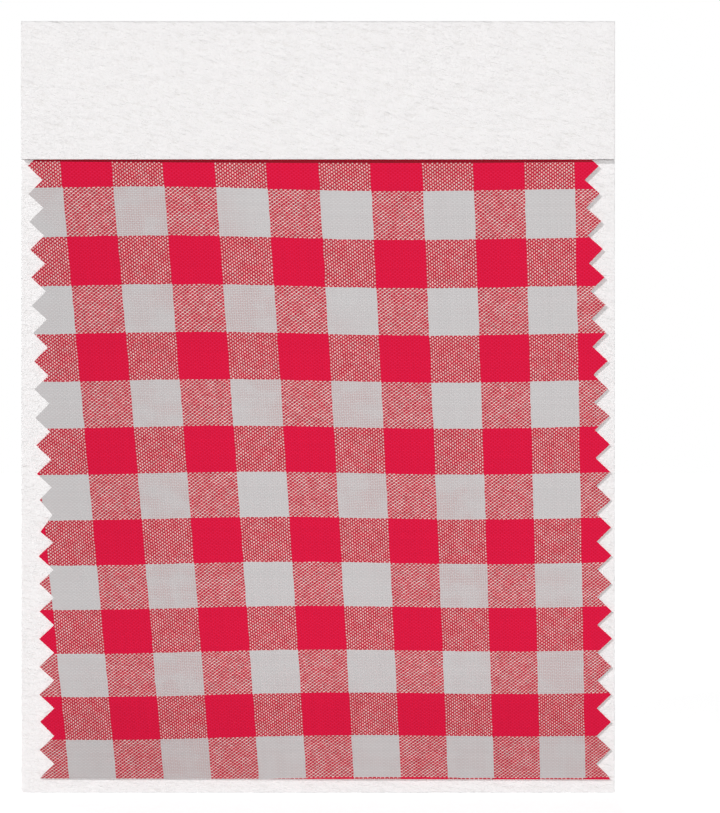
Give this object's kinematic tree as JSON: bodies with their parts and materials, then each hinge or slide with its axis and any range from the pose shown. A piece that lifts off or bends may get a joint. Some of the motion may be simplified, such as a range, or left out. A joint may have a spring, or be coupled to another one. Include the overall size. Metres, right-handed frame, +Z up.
{
  "type": "fabric sample card",
  "caption": "Fabric sample card: a folded header card holds the top of a pinked gingham cloth over a stiff backing card, and the loose cloth lifts.",
  "frame": {"origin": "the middle of the header card's flat back face, where the card is hung or stuck up", "axes": "+X to the right seen from the front, +Y out of the back face, +Z up along the card's length"},
  "size_m": [0.1484, 0.0038, 0.1929],
  "materials": {
    "header_card": "white felt-marked card, matte",
    "backing_card": "white felt-marked solid board, matte",
    "gingham": "plain-woven red and white check cotton",
    "tape": "double-sided tissue tape, satin"
  },
  "bodies": {
    "card": {"header_card": "header_card", "backing_card": "backing_card", "cloth_top_edge": "gingham", "header_front_tape": "tape", "cloth_back_tape": "tape", "header_back_tape": "tape"},
    "loose_cloth": {"cloth_sample": "gingham"}
  },
  "joints": [
    {"name": "fabric_lift", "type": "hinge", "parent": "card", "child": "loose_cloth", "pos_m": [0, -0.0027, -0.0185], "axis": [-1, 0, 0], "range_deg": [0, 120]}
  ]
}
